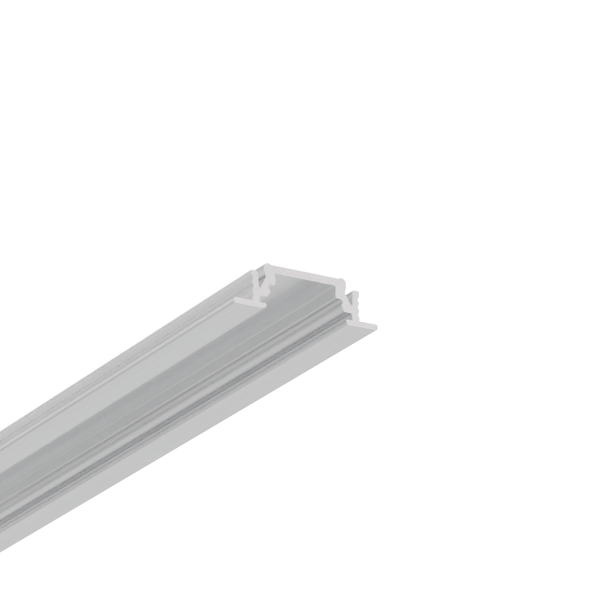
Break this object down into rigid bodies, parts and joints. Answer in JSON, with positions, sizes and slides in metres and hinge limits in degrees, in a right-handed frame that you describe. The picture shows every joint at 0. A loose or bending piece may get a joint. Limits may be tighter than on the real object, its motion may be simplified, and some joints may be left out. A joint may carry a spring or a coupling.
{
  "type": "led strip aluminium profile",
  "caption": "Recessed aluminium profile for an LED strip: flat channel between rounded beads, slots for a snap-in cover, ribbed walls with free fins, and wide flanges.",
  "frame": {"origin": "middle of the cut length, under the middle of the web, at the level of the two bead crests that the bar rests on", "axes": "+Y along the bar from the end shown in the picture to the far end, +Z out of the open side towards the flange faces, +X across the width"},
  "size_m": [0.0248, 0.15, 0.0071],
  "materials": {
    "aluminium": "satin, clear anodised, with bare sawn ends"
  },
  "bodies": {
    "root": {"profile": "aluminium"}
  },
  "joints": []
}
